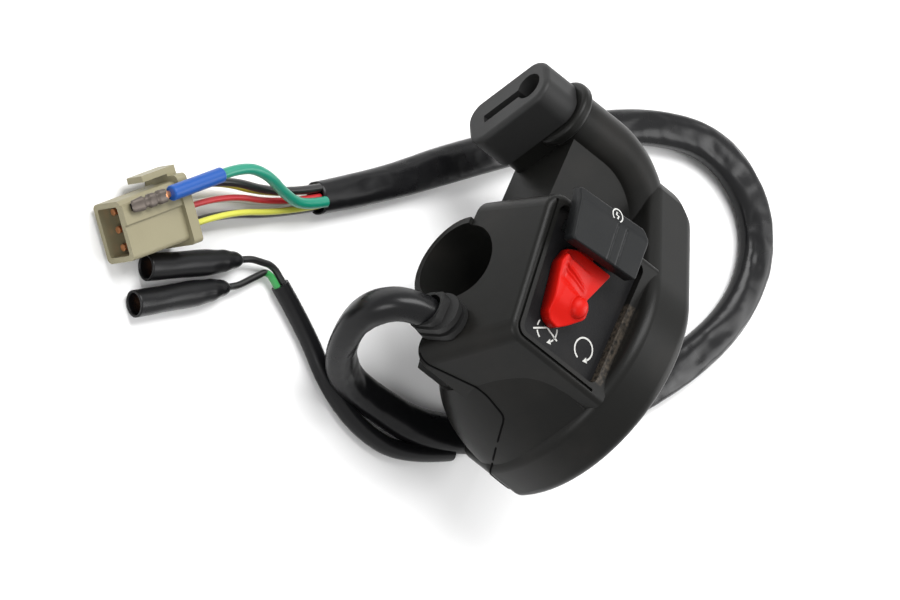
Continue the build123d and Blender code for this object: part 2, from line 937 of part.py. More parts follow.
# Carrier screws
with BuildPart() as carrier_screws:
    with BuildSketch(Plane.XY.offset(carrier_top)):
        with Locations(*carrier_screw_places):
            Circle(carrier_screw_head)
    extrude(amount=carrier_head_high)
    with BuildSketch(Plane.XY.offset(cavity_floor - carrier_screw_grip)):
        with Locations(*carrier_screw_places):
            Circle(carrier_screw_radius)
    extrude(amount=carrier_screw_grip + carrier_thick)
save(carrier_screws.part, "carrier_screws")

# Housing screws, driven from the back
with BuildPart() as housing_screws:
    for (x, y), tip in zip(screw_places, screw_tips):
        with BuildSketch(Plane.XY.offset(screw_seat - screw_head_high)):
            with Locations((x, y)):
                Circle(screw_head_radius)
        extrude(amount=screw_head_high)
        with BuildSketch(Plane.XY.offset(screw_seat)):
            with Locations((x, y)):
                Circle(screw_radius)
        extrude(amount=tip - screw_seat)
        with BuildSketch(Plane.XY.offset(screw_seat - screw_head_high)):
            with Locations((x, y)):
                Rectangle(drive_width, drive_slot)
                Rectangle(drive_slot, drive_width)
        extrude(amount=drive_depth, mode=Mode.SUBTRACT)
save(housing_screws.part, "housing_screws")

# Rubber grommet where the harness leaves the box
grommet_inner = channel_start + grommet_rib
grommet_outer = -(2 * grommet_rib + grommet_waist)


def grommet_plane(out):
    """Plane of a rib: it leans like the box's inner end, some way out from it."""
    turn = radians(grommet_lean)
    face = Vector(grommet_face, grommet_y, grommet_z)
    way = Vector(-cos(turn), 0, sin(turn))
    return Plane(origin=face + way * out, x_dir=(0, 1, 0), z_dir=way)


with BuildPart() as grommet:
    with BuildSketch(Plane.YZ.offset(grommet_outer)):
        with Locations((grommet_y, grommet_z)):
            RectangleRounded(grommet_neck, grommet_neck, grommet_round)
    extrude(amount=grommet_inner - grommet_outer)
    for out in (contact_gap, grommet_rib + grommet_waist):
        with BuildSketch(grommet_plane(out)):
            RectangleRounded(grommet_wide, grommet_high, grommet_corner)
        extrude(amount=grommet_rib)
    with BuildSketch(Plane.YZ.offset(channel_start + contact_gap)):
        with Locations((grommet_y, grommet_z)):
            RectangleRounded(grommet_lip, grommet_lip, grommet_round)
    extrude(amount=grommet_rib - contact_gap)
    with BuildSketch(Plane.YZ.offset(grommet_outer - grommet_waist)):
        with Locations((grommet_y, grommet_z)):
            Circle(sleeve_diameter / 2)
    extrude(amount=grommet_inner + grommet_waist - grommet_outer, mode=Mode.SUBTRACT)
save(grommet.part, "grommet")

# Harness sleeve: out of the grommet, down to the table, under the drum and round in a loop
sleeve_z = table_z + sleeve_diameter / 2
sleeve_route = [
    (grommet_inner, grommet_y, grommet_z),
    (-8, grommet_y, grommet_z),
    (-15.5, -22.5, -4.8),
    (-9.5, -28.5, -18.5),
    (1.5, -29.8, -28.2),
    (14, -29, sleeve_z),
    (30, -27.6, sleeve_z),
    (47, -19, sleeve_z),
    (69, 0, sleeve_z),
    (92, 25, sleeve_z),
    (107, 57, sleeve_z),
    (102, 81, sleeve_z),
    (80, 91, sleeve_z),
    (54, 80.5, sleeve_z),
    (30, 60, sleeve_z),
    (8, 38.8, sleeve_z),
    (-10, 19.6, sleeve_z),
    (-25.5, 6.1, sleeve_z),
]
save(cord_tube(sleeve_route, sleeve_diameter, "harness_sleeve"), "harness_sleeve")

# Three leads from the carrier through the cable channel into the sleeve
lead_z = carrier_top + lead_diameter / 2
lead_high_y = panel_low_y + 3 * seat_ledge
lead_x = (passage_start + channel_end) / 2
leads = []
for side in (-1, 0, 1):
    lead_route = [
        (lead_x + side * lead_step, lead_high_y, lead_z),
        (lead_x + side * lead_step, lead_fall_y, lead_z),
        (lead_x + side * lead_step, lead_fall_y, channel_high),
        (lead_x - lead_step, grommet_y + side * lead_step, grommet_z),
        (grommet_inner, grommet_y + side * lead_step, grommet_z),
    ]
    leads.append(cord_tube(lead_route, lead_diameter, "switch_leads"))
save(Compound(children=leads), "switch_leads")

# Branch sleeve beside the harness sleeve, out to the bullet terminals
branch_z = table_z + branch_diameter / 2
branch_route = [
    (-24.3, -18.9, branch_z),
    (-11.5, -24.6, branch_z),
    (1, -33.2, branch_z),
    (15, -37.2, branch_z),
    (30, -35.4, branch_z),
    (42.5, -26.2, branch_z),
]
save(cord_tube(branch_route, branch_diameter, "branch_sleeve"), "branch_sleeve")

# Connector's own directions: along it towards its wires, across it, and up
along = Vector(cos(radians(connector_turn)), sin(radians(connector_turn)), 0)
across = Vector(sin(radians(connector_turn)), -cos(radians(connector_turn)), 0)
up = Vector(0, 0, 1)
back_end = connector_length / 2
connector_top = table_z + flange_out + connector_height
connector_mid = connector_top - connector_height / 2


def on_connector(forward, sideways, height):
    """A place on the connector, from its middle, at a height in the part's frame."""
    return Vector(connector_x, connector_y, height) + along * forward + across * sideways


def connector_plane(forward):
    """Plane across the connector: first axis across it, second axis up."""
    return Plane(origin=on_connector(forward, 0, connector_mid), x_dir=-across, z_dir=along)


step_wide = connector_width * (1 - step_share)
with BuildPart() as connector:
    with BuildSketch(connector_plane(-back_end)):
        RectangleRounded(connector_width, connector_height, connector_wall)
        with Locations(((connector_width - step_wide) / 2 - connector_wall, connector_height / 2)):
            Rectangle(step_wide, 2 * connector_step)
    extrude(amount=connector_length - flange_long)
    with BuildSketch(connector_plane(back_end - flange_long)):
        RectangleRounded(
            connector_width + 2 * flange_out, connector_height + 2 * flange_out, connector_wall
        )
        with Locations((connector_width / 2 + latch_out / 2, 0)):
            Rectangle(latch_out, latch_high)
    extrude(amount=flange_long)
    with BuildSketch(connector_plane(back_end - flange_long - latch_long)):
        with Locations(((connector_width + 2 * latch_out - latch_thick) / 2, 0)):
            Rectangle(latch_thick, latch_high)
    extrude(amount=latch_long)
    with BuildSketch(connector_plane(-back_end)):
        RectangleRounded(
            connector_width - 2 * connector_wall,
            connector_height - 2 * connector_wall,
            connector_wall / 2,
        )
    extrude(amount=hood_depth, mode=Mode.SUBTRACT)
save(connector.part, "connector_housing")

# Contact pins in the connector's hood
with BuildPart() as pins:
    with BuildSketch(connector_plane(hood_depth - back_end)):
        with GridLocations(pin_pitch, 2 * pin_row, 3, 2):
            Circle(pin_radius)
    extrude(amount=-pin_out)
save(pins.part, "connector_pins")

# Crimped ring end and its insulator, resting on the connector's flange
insulator_z = connector_top + flange_out + contact_gap + insulator_radius
insulator_end = insulator_start - insulator_long
crimp_z = insulator_z - insulator_radius + crimp_thick / 2
with BuildPart() as insulator:
    with BuildSketch(
        Plane(origin=on_connector(insulator_end, insulator_side, insulator_z), z_dir=along)
    ):
        Circle(insulator_radius)
    extrude(amount=insulator_long)
    fillet(insulator.edges().filter_by(GeomType.CIRCLE), insulator_radius / 4)
save(insulator.part, "insulator_sleeve")
with BuildPart() as crimp:
    with BuildSketch(
        Plane(
            origin=on_connector(insulator_end - crimp_long, insulator_side, crimp_z),
            x_dir=-across,
            z_dir=along,
        )
    ):
        RectangleRounded(crimp_wide, crimp_thick, crimp_thick / 3)
    extrude(amount=crimp_long)
save(crimp.part, "crimp_terminal")

# Free wires between the sleeve's end and the connector
sleeve_end = Vector(*sleeve_route[-1])
sleeve_way = (sleeve_end - Vector(*sleeve_route[-2])).normalized()
sleeve_side = Vector(-sleeve_way.Y, sleeve_way.X, 0)
for name, (diameter, side, rise, column, row) in wire_places.items():
    start = sleeve_end + sleeve_side * side + up * rise
    finish = on_connector(back_end, column * pin_pitch, connector_mid + row * pin_row)
    leave = start + sleeve_way * wire_lead
    enter = finish + along * wire_lead
    save(cord_tube([start, leave, enter, finish], diameter, name), name)
green_start = sleeve_end + sleeve_side * green_side + up * green_up
green_finish = on_connector(insulator_start, insulator_side, insulator_z)
green_route = [
    green_start,
    green_start + sleeve_way * wire_lead * wire_share,
    (-38.5, -1.9, -24.6),
    (-48.5, -2.8, -20),
    green_finish + along * wire_lead * wire_share,
    green_finish,
]
save(cord_tube(green_route, green_diameter, "wire_green"), "wire_green")

# Bullet terminals: sleeves on the table, pins inside them, leads into the branch sleeve
bullet_z = table_z + bullet_sleeve_radius
bullet_straight = bullet_sleeve_long - bullet_taper
branch_way = (Vector(*branch_route[0]) - Vector(*branch_route[1])).normalized()
branch_side = Vector(branch_way.Y, -branch_way.X, 0)
for name, (mouth_x, mouth_y, turn) in bullet_places.items():
    mouth = Vector(mouth_x, mouth_y, bullet_z)
    way = Vector(cos(radians(turn)), sin(radians(turn)), 0)
    neck = mouth + way * bullet_sleeve_long
    with BuildPart() as bullet_sleeve:
        with BuildSketch(Plane(origin=mouth, z_dir=way)):
            Circle(bullet_sleeve_radius)
        extrude(amount=bullet_straight)
        with BuildSketch(Plane(origin=mouth + way * bullet_straight, z_dir=way)):
            Circle(bullet_sleeve_radius)
        with BuildSketch(Plane(origin=neck, z_dir=way)):
            Circle(bullet_neck_radius)
        loft()
        with BuildSketch(Plane(origin=mouth, z_dir=way)):
            Circle(bullet_bore)
        extrude(amount=bullet_straight, mode=Mode.SUBTRACT)
    save(bullet_sleeve.part, "bullet_sleeve_" + name)
    with BuildPart() as bullet:
        with BuildSketch(Plane(origin=mouth + way * (bullet_straight - bullet_long), z_dir=way)):
            Circle(bullet_radius)
        extrude(amount=bullet_long)
        fillet(bullet.faces().sort_by(Axis.X)[0].edges(), bullet_radius / 3)
    save(bullet.part, "bullet_terminal_" + name)
    branch_mouth = Vector(*branch_route[0]) - branch_side * bullet_lead_sides[name]
    lead_route = [
        neck,
        neck + way * 2 * bullet_lead,
        branch_mouth + branch_way * bullet_lead_out,
        branch_mouth,
    ]
    save(cord_tube(lead_route, bullet_lead, "bullet_lead_" + name), "bullet_lead_" + name)
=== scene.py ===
import math

import bmesh
import bpy
from mathutils import Matrix, Vector


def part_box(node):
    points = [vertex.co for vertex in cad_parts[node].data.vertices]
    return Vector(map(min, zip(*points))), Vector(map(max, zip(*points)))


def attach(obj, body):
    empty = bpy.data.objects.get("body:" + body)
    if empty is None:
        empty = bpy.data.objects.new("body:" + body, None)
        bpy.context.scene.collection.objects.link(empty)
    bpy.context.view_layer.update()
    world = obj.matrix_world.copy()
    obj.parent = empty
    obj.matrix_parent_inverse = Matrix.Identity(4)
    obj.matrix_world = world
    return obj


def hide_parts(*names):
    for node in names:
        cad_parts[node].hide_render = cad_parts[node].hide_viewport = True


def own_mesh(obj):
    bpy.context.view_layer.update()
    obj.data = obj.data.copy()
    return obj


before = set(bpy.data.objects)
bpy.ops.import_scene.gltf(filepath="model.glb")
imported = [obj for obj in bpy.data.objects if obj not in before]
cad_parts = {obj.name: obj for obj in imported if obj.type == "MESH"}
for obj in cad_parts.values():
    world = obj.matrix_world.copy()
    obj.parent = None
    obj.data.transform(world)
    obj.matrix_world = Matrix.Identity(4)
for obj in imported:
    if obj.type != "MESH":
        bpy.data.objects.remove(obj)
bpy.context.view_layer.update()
scene = bpy.context.scene
MM = 0.001
UP = Vector((0, 0, 1))

# Heights of the table and of the middle lines that lie on it, in millimetres
TABLE = -34.5
SLEEVE_Z = -30.2
BRANCH_Z = -32.1
BULLET_Z = -31.2
CONNECTOR_MID = -28.0

# Connector: where its measures start, and the ways along and across it
CONNECTOR = Vector((-70.7, -30.2, 0))
CONNECTOR_TURN = math.radians(48.7)
ALONG = Vector((math.cos(CONNECTOR_TURN), math.sin(CONNECTOR_TURN), 0))
ACROSS = Vector((math.sin(CONNECTOR_TURN), -math.cos(CONNECTOR_TURN), 0))


# Camera: looks the way the photograph does, from so far that hardly anything is foreshortened
PIXELS_PER_MM = 4.0
FRAME_WIDE = 900
CAMERA_FAR = 5.0
SENSOR = 36.0
VIEW_MIDDLE = Vector((3.18, -9.3, 0)) * MM
view_right = Vector((0.678, 0.366, 0.636)).normalized()
view_back = view_right.cross(Vector((-0.537, 0.838, 0.091))).normalized()
view_up = view_back.cross(view_right)
camera_data = bpy.data.cameras.new("camera")
camera_data.sensor_width = SENSOR
camera_data.lens = SENSOR * CAMERA_FAR / (FRAME_WIDE / PIXELS_PER_MM * MM)
camera = bpy.data.objects.new("camera", camera_data)
turned = Matrix((view_right, view_up, view_back)).transposed().to_4x4()
camera.matrix_world = Matrix.Translation(VIEW_MIDDLE + view_back * CAMERA_FAR) @ turned
scene.collection.objects.link(camera)
scene.camera = camera


# Shader nodes
def feed(tree, socket, value):
    """Links a socket to another socket, or sets it to a plain value."""
    if isinstance(value, bpy.types.NodeSocket):
        tree.links.new(value, socket)
    else:
        socket.default_value = value


def add_node(tree, kind, output, inputs=None, **settings):
    """Adds a shader node with its settings and inputs, and gives one of its outputs."""
    node = tree.nodes.new("ShaderNode" + kind)
    for setting, value in settings.items():
        setattr(node, setting, value)
    for socket, value in (inputs or {}).items():
        feed(tree, node.inputs[socket], value)
    return node.outputs[output]


def noise(tree, where, scale, detail):
    """A plain noise over the surface."""
    return add_node(tree, "TexNoise", "Fac", {"Vector": where, "Scale": scale, "Detail": detail})


def mapped(tree, value, edges, ends=(0.0, 1.0), **settings):
    """A value that lies between two edges, brought between two ends."""
    inputs = {"Value": value, "From Min": edges[0], "From Max": edges[1]}
    inputs.update({"To Min": ends[0], "To Max": ends[1]})
    return add_node(tree, "MapRange", "Result", inputs, **settings)


def mixed_colour(tree, share, under, over):
    """One colour or colour socket over another, by a share that changes over the surface."""
    return add_node(tree, "Mix", "Result", {"Factor": share, "A": under, "B": over}, data_type="RGBA")


def new_group(name, inputs, outputs):
    """A shader node group with named sockets: gives the group, what comes in and what goes out."""
    group = bpy.data.node_groups.new(name, "ShaderNodeTree")
    for direction, sockets in (("INPUT", inputs), ("OUTPUT", outputs)):
        for socket, kind in sockets.items():
            group.interface.new_socket(name=socket, in_out=direction, socket_type="NodeSocket" + kind)
    return group, group.nodes.new("NodeGroupInput").outputs, group.nodes.new("NodeGroupOutput").inputs


def place_group(tree, group, inputs):
    """Puts a group into a material with the material's own values; gives its outputs."""
    node = tree.nodes.new("ShaderNodeGroup")
    node.node_tree = group
    for socket, value in inputs.items():
        feed(tree, node.inputs[socket], value)
    return node.outputs


# Effects that several finishes share: moulded grain, gloss worn in patches, and dust in the patches
GRAIN_DETAIL = 3.0
PATCH_SCALE = 60.0
PATCH_DETAIL = 6.0
PATCH_EDGES = (0.35, 0.7)
DUST_EDGES = (0.5, 0.75)
DUST_MOST = 0.35
moulded_grain, given, result = new_group(
    "moulded_grain",
    {"Vector": "Vector", "Scale": "Float"},
    {"Height": "Float"},
)
grain = noise(moulded_grain, given["Vector"], given["Scale"], GRAIN_DETAIL)
feed(moulded_grain, result["Height"], grain)

worn_gloss, given, result = new_group(
    "worn_gloss",
    {"Vector": "Vector", "Glossy": "Float", "Worn": "Float"},
    {"Roughness": "Float", "Patches": "Float"},
)
patches = noise(worn_gloss, given["Vector"], PATCH_SCALE, PATCH_DETAIL)
gloss = mapped(worn_gloss, patches, PATCH_EDGES, (given["Glossy"], given["Worn"]))
feed(worn_gloss, result["Roughness"], gloss)
feed(worn_gloss, result["Patches"], patches)

thin_dust, given, result = new_group(
    "thin_dust",
    {"Patches": "Float", "Clean": "Color", "Dusty": "Color"},
    {"Color": "Color"},
)
dusty = mapped(thin_dust, given["Patches"], DUST_EDGES, (0.0, DUST_MOST))
feed(thin_dust, result["Color"], mixed_colour(thin_dust, dusty, given["Clean"], given["Dusty"]))


# Finishes
GRAIN_DEPTH = 0.0002
looks = {}


def finish(name, colour, rough, specular=0.5, metallic=0.0, bump=0.0, scale=900.0, spread=0.0, dust=None):
    """A finish with fine grain, gloss that is uneven by its spread and, where given, dust."""
    made = bpy.data.materials.new(name)
    made.use_nodes = True
    tree = made.node_tree
    shader = tree.nodes["Principled BSDF"].inputs
    shader["Base Color"].default_value = (*colour, 1)
    shader["Roughness"].default_value = rough
    shader["Metallic"].default_value = metallic
    shader["Specular IOR Level"].default_value = specular
    where = add_node(tree, "TexCoord", "Object")
    if bump:
        height = place_group(tree, moulded_grain, {"Vector": where, "Scale": scale})["Height"]
        bumped = {"Height": height, "Strength": bump, "Distance": GRAIN_DEPTH}
        feed(tree, shader["Normal"], add_node(tree, "Bump", "Normal", bumped))
    if spread:
        gloss = {"Vector": where, "Glossy": rough, "Worn": min(1.0, rough + spread)}
        worn = place_group(tree, worn_gloss, gloss)
        feed(tree, shader["Roughness"], worn["Roughness"])
        if dust:
            dusted = {"Patches": worn["Patches"], "Clean": (*colour, 1), "Dusty": (*dust, 1)}
            feed(tree, shader["Base Color"], place_group(tree, thin_dust, dusted)["Color"])
    looks[name] = made


GREY_DUST = (0.018, 0.016, 0.014)
PANEL_DUST = (0.03, 0.027, 0.024)
BUTTON_DUST = (0.02, 0.02, 0.02)
BROWN_DUST = (0.17, 0.15, 0.09)
finish("housing", (0.006, 0.006, 0.0055), 0.36, 0.13, bump=0.05, scale=1500, spread=0.06, dust=GREY_DUST)
finish("panel", (0.006, 0.006, 0.0065), 0.42, 0.1, bump=0.2, scale=2200, spread=0.15, dust=PANEL_DUST)
finish("cap", (0.013, 0.013, 0.013), 0.46, 0.2, bump=0.1, scale=1500, spread=0.12)
finish("button", (0.007, 0.0076, 0.008), 0.42, 0.13, bump=0.12, scale=2000, spread=0.1, dust=BUTTON_DUST)
finish("lever", (0.43, 0.005, 0.002), 0.42, 0.12, bump=0.06, scale=1200, spread=0.08)
finish("rubber", (0.008, 0.008, 0.008), 0.5, 0.25, bump=0.15, scale=1500, spread=0.12)
finish("sleeve", (0.005, 0.005, 0.0055), 0.26, 0.2, bump=0.05, scale=700, spread=0.06)
finish("connector", (0.215, 0.195, 0.12), 0.42, 0.35, bump=0.08, scale=1200, spread=0.12, dust=BROWN_DUST)
finish("blue", (0.004, 0.06, 0.27), 0.38, 0.3, bump=0.1)
finish("green", (0.004, 0.19, 0.12), 0.34, bump=0.05)
finish("green_yellow", (0.5, 0.5, 0.06), 0.35, bump=0.05)
finish("red", (0.4, 0.015, 0.02), 0.35, bump=0.05)
finish("yellow", (0.42, 0.36, 0.03), 0.35, bump=0.05)
finish("white", (0.7, 0.7, 0.65), 0.35, bump=0.05)
finish("black", (0.01, 0.01, 0.01), 0.32, bump=0.05)
finish("taped", (0.006, 0.006, 0.006), 0.34, bump=0.05)
finish("copper", (0.72, 0.33, 0.16), 0.35, metallic=1.0, spread=0.2)
finish("crimp", (0.1, 0.085, 0.075), 0.4, metallic=0.9, bump=0.3, scale=700, spread=0.3)
finish("steel", (0.5, 0.5, 0.5), 0.35, metallic=1.0, spread=0.2)
finish("board", (0.18, 0.1, 0.04), 0.6, bump=0.1)
finish("seam", (0.001, 0.001, 0.001), 0.8, 0.05)
finish("mark", (0.45, 0.45, 0.43), 0.6)

# Solids that show as they are, by finish
SHOWN_SOLIDS = {
    "housing": ["front_shell", "rear_shell"],
    "cap": ["cable_cap"],
    "panel": ["switch_panel"],
    "board": ["kill_rotor", "contact_carrier"],
    "copper": [
        "start_contact_bridge",
        "start_contact_pads",
        "kill_contact_ring",
        "kill_contact_studs",
        "connector_pins",
        "bullet_terminal_a",
        "bullet_terminal_b",
    ],
    "steel": ["detent_spring", "detent_ball", "kill_lever_screw", "carrier_screws", "housing_screws"],
    "rubber": ["grommet"],
    "black": ["switch_leads", "bullet_lead_a"],
    "taped": ["bullet_lead_b"],
    "connector": ["connector_housing"],
    "blue": ["insulator_sleeve"],
}
for look, shown in SHOWN_SOLIDS.items():
    for node in shown:
        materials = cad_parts[node].data.materials
        materials.clear()
        materials.append(looks[look])

# Moulded edges of the grommet's ribs and the panel's rim, in millimetres
EDGE_STEPS = 3
SHARP_ANGLE = 40
for node, width in (("grommet", 0.45), ("switch_panel", 0.2)):
    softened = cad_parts[node].modifiers.new("soft_edges", "BEVEL")
    softened.width = width * MM
    softened.segments = EDGE_STEPS
    softened.limit_method = "ANGLE"
    softened.angle_limit = math.radians(SHARP_ANGLE)
    softened.harden_normals = True


# Grit caught in a corner of the housing, and the tape on the lower lead
GRIT_SCALE = 1100.0
GRIT_DETAIL = 8.0
GRIT_EDGES = (0.32, 0.66)
GRIT_FADE = 0.4
TAPE_EDGE = 0.2


def settle_dust(made, low, high, colour):
    """Gritty dust over a finish's own colour, inside a box given in millimetres."""
    tree = made.node_tree
    where = add_node(tree, "TexCoord", "Object")
    amount = mapped(tree, noise(tree, where, GRIT_SCALE, GRIT_DETAIL), GRIT_EDGES)
    for axis, start, stop in zip("XYZ", low, high):
        place = add_node(tree, "SeparateXYZ", axis, {"Vector": where})
        for edge, way in ((start, GRIT_FADE), (stop, -GRIT_FADE)):
            side = mapped(tree, place, ((edge - way) * MM, (edge + way) * MM))
            amount = add_node(tree, "Math", 0, {0: amount, 1: side}, operation="MULTIPLY")
    base = tree.nodes["Principled BSDF"].inputs["Base Color"]
    feed(tree, base, mixed_colour(tree, amount, base.links[0].from_socket, (*colour, 1)))


def bare_lead_end(made, node, length, colour):
    """The lead's own colour on its last stretch, beyond its tape."""
    tree = made.node_tree
    where = add_node(tree, "TexCoord", "Object")
    place = add_node(tree, "SeparateXYZ", "X", {"Vector": where})
    bare_from = max(corner[0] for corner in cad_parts[node].bound_box) - length * MM
    bare = mapped(tree, place, (bare_from, bare_from + TAPE_EDGE * MM))
    base = tree.nodes["Principled BSDF"].inputs["Base Color"]
    feed(tree, base, mixed_colour(tree, bare, tuple(base.default_value), (*colour, 1)))


settle_dust(looks["housing"], (36.4, -14.5, 19.0), (39.2, 8.5, 27.0), (0.055, 0.045, 0.035))
bare_lead_end(looks["taped"], "bullet_lead_b", 5.5, (0.03, 0.24, 0.06))


# Shapes that several pieces use
def smooth(value, low, high):
    """0 below low, 1 above high, and an easy rise between them."""
    part = max(0.0, min(1.0, (value - low) / (high - low)))
    return part * part * (3 - 2 * part)


def ridge(away, width):
    """1 on a line, and less the further away from it."""
    return math.exp(-((away / width) ** 2))


def boxy(value, power):
    """A sine or cosine made fuller, so that a round section turns squarer."""
    return math.copysign(abs(value) ** power, value)


def ripple(value, waves):
    """A smooth uneven wave between about -1 and 1."""
    return sum(size * math.sin(rate * value + shift) for rate, shift, size in waves)


def shape_at(table, share):
    """What a table of shapes gives at a share of the length."""
    for low, high in zip(table, table[1:]):
        if share <= high[0]:
            part = smooth(share, low[0], high[0])
            return [a + (b - a) * part for a, b in zip(low[1:], high[1:])]
    return list(table[-1][1:])


def round_corner(start, corner, end, steps):
    """Points of a bend from start to end that the corner pulls outward."""
    shares = [step / steps for step in range(steps + 1)]
    return [start.lerp(corner, share).lerp(corner.lerp(end, share), share) for share in shares]


def smooth_shaded(name, mesh):
    for polygon in mesh.polygons:
        polygon.use_smooth = True
    return bpy.data.objects.new(name, mesh)


def add_piece(piece, look, body):
    """Puts a piece into the scene with its finish and the body that it rides on."""
    piece.data.materials.clear()
    piece.data.materials.append(looks[look])
    scene.collection.objects.link(piece)
    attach(piece, body)


def add_wall(piece, thickness):
    """Makes an open skin a wall, inwards from its outside, in millimetres."""
    wall = piece.modifiers.new("wall", "SOLIDIFY")
    wall.thickness = thickness * MM
    wall.offset = -1


def tube_piece(name, line, frames, shape, sides):
    """A skin of rings along a line: shape gives each ring's offsets in millimetres."""
    points = []
    for index, (centre, (side, rise)) in enumerate(zip(line, frames)):
        for corner in range(sides):
            wide, high = shape(index, 2 * math.pi * corner / sides)
            points.append(centre + side * wide * MM + rise * high * MM)
    faces = []
    for ring in range(len(line) - 1):
        for corner in range(sides):
            near = ring * sides + corner
            following = ring * sides + (corner + 1) % sides
            faces.append((near, following, following + sides, near + sides))
    mesh = bpy.data.meshes.new(name)
    mesh.from_pydata(points, [], faces)
    mesh.update()
    return smooth_shaded(name, mesh)


# Lines that cords follow
CURVE_STEPS = 24
ROUND_STEPS = 6


def spline_curve(name, route):
    """Curve data with the route in millimetres as one NURBS spline."""
    data = bpy.data.curves.new(name, "CURVE")
    data.dimensions = "3D"
    data.resolution_u = CURVE_STEPS
    spline = data.splines.new("NURBS")
    spline.points.add(len(route) - 1)
    for control, point in zip(spline.points, route):
        control.co = (*(Vector(point) * MM), 1)
    spline.order_u = 3
    spline.use_endpoint_u = True
    return data


def curve_line(name, route):
    """Points along the spline of a route, in metres."""
    holder = bpy.data.objects.new(name, spline_curve(name, route))
    mesh = bpy.data.meshes.new_from_object(holder)
    line = [vertex.co.copy() for vertex in mesh.vertices]
    bpy.data.objects.remove(holder)
    bpy.data.meshes.remove(mesh)
    return line


def line_length(line):
    return sum((after - before).length for before, after in zip(line, line[1:]))


def even_line(line, step):
    """The same line with its points about a step apart."""
    total = line_length(line)
    count = round(total / step)
    result = []
    gone = 0.0
    segment = 0
    for index in range(count + 1):
        wanted = total * index / count
        while segment < len(line) - 2:
            span = (line[segment + 1] - line[segment]).length
            if gone + span >= wanted:
                break
            gone += span
            segment += 1
        span = (line[segment + 1] - line[segment]).length
        share = min(1.0, max(0.0, (wanted - gone) / span if span else 0.0))
        result.append(line[segment].lerp(line[segment + 1], share))
    return result


def carried_frames(line, last_side):
    """Side and rise directions at each point, turned as little as can be, from the last one back."""
    frames = []
    side = last_side
    for index in range(len(line) - 1, -1, -1):
        way = (line[min(len(line) - 1, index + 1)] - line[max(0, index - 1)]).normalized()
        side = (side - way * side.dot(way)).normalized()
        frames.insert(0, (side, side.cross(way) * -1))
    return frames


# Harness sleeve: from the grommet, round under the housing, over the table to the wires
SLEEVE_ROUTE = [
    (6.3, -17.65, 4.6),
    (-8, -17.65, 4.6),
    (-15.5, -22.5, -4.8),
    (-9.5, -28.5, -18.5),
    (1.5, -29.8, -28.2),
    (14, -29, SLEEVE_Z),
    (30, -27.6, SLEEVE_Z),
    (47, -19, SLEEVE_Z),
    (69, 0, SLEEVE_Z),
    (92, 25, SLEEVE_Z),
    (107, 57, SLEEVE_Z),
    (102, 81, SLEEVE_Z),
    (80, 91, SLEEVE_Z),
    (54, 80.5, SLEEVE_Z),
    (30, 60, SLEEVE_Z),
    (8, 38.8, SLEEVE_Z),
    (-10, 19.6, SLEEVE_Z),
    (-25.5, 6.1, SLEEVE_Z),
]
SLEEVE_WALL = 0.55
SLEEVE_SIDES = 40
RING_STEP = 0.8

# Half width and half height at shares of the sleeve's length, and how creased it is there
SLEEVE_SHAPE = [
    (0.0, 3.9, 3.9, 0.0),
    (0.03, 4.1, 3.9, 0.1),
    (0.065, 4.9, 4.1, 0.8),
    (0.12, 4.9, 3.7, 0.8),
    (0.17, 4.6, 3.4, 0.7),
    (0.25, 5.0, 3.3, 0.5),
    (0.32, 5.6, 3.0, 0.7),
    (0.38, 6.2, 2.7, 1.0),
    (0.44, 5.2, 3.0, 0.9),
    (0.52, 4.8, 3.2, 1.0),
    (0.6, 5.0, 3.0, 1.0),
    (0.68, 4.6, 3.3, 0.8),
    (0.78, 4.6, 3.3, 0.5),
    (0.88, 4.9, 3.2, 0.6),
    (0.96, 4.4, 3.4, 0.5),
    (1.0, 4.2, 3.5, 0.3),
]
LIES_FROM = 0.1
LIES_OVER = 0.06
FLAT_FROM = 0.16
SLEEVE_SQUARE = 0.82

# Waves by rate, shift and size: where a groove runs and how deep it is, and fine creases
LONG_WAVES = [(0.21, 0.4, 0.5), (0.53, 2.1, 0.35), (0.97, 4.0, 0.25)]
CREASE_WAVES = [(1.1, 0.0, 0.45), (1.9, 1.3, 0.35), (3.1, 2.6, 0.25)]

# Lengthwise grooves: angle of the middle, how far, how fast and from where it wanders, width, depth
TOP_GROOVE = (1.45, 0.5, 0.35, 0, 0.3, 0.22)
SIDE_GROOVE = (2.5, 0.4, 0.28, 5, 0.22, 0.14)
WRINKLE_DEPTH = 0.02

sleeve_line = even_line(curve_line("sleeve_line", SLEEVE_ROUTE), RING_STEP * MM)
sleeve_frames = carried_frames(sleeve_line, Vector((0.7, -0.7, 0)))
if sleeve_frames[-1][1].z < 0:
    sleeve_frames = [(side * -1, rise * -1) for side, rise in sleeve_frames]


def sleeve_share(index):
    return index / (len(sleeve_line) - 1)


def lowered(index, point):
    """A point of the sleeve's line, low enough for its section there to rest on the table."""
    share = sleeve_share(index)
    high = shape_at(SLEEVE_SHAPE, share)[1]
    lies = max(0.0, min(1.0, (share - LIES_FROM) / LIES_OVER))
    return point - UP * ((SLEEVE_Z - TABLE - high) * lies * MM)


def groove(angle, along, shape):
    """Depth of a groove that wanders along the sleeve, at an angle round its section."""
    middle, wander, rate, shift, width, depth = shape
    middle += wander * ripple(along * rate + shift, LONG_WAVES)
    away = (angle - middle + math.pi) % (2 * math.pi) - math.pi
    return depth * ridge(away, width)


